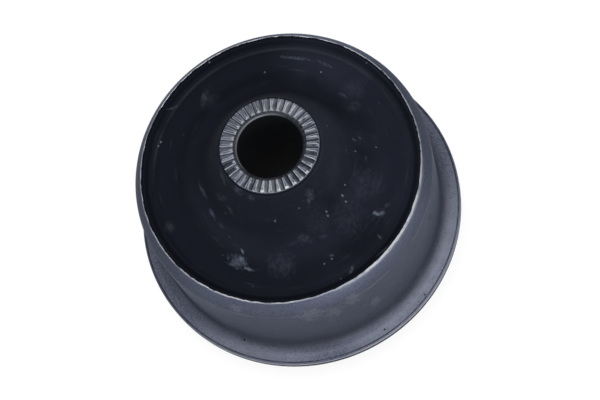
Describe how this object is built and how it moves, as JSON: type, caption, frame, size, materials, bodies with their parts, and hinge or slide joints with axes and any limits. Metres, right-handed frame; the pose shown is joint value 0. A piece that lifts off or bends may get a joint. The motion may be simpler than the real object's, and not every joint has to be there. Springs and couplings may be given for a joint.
{
  "type": "rubber metal bush",
  "caption": "Suspension bush: a flanged steel can with a curled nose, a bonded rubber body, and a thick bolt sleeve with radially serrated ends standing out at both sides.",
  "frame": {"origin": "centre of the inner sleeve's lower end face, the lowest point of the bush", "axes": "+Z along the bush's axis, from the flange towards the curled end of the can; X and Y are radial, with a serration groove along +X"},
  "size_m": [0.0754, 0.0754, 0.052],
  "materials": {
    "can_steel": "satin dark blue-grey coat on drawn steel, worn bright at the rim",
    "rubber": "moulded black rubber with a faint bluish bloom and handling marks",
    "sleeve_steel": "dark phosphated steel, with bright worn edges on the serrations"
  },
  "bodies": {
    "root": {"outer_sleeve": "can_steel", "rubber_body": "rubber", "inner_sleeve": "sleeve_steel"}
  },
  "joints": []
}
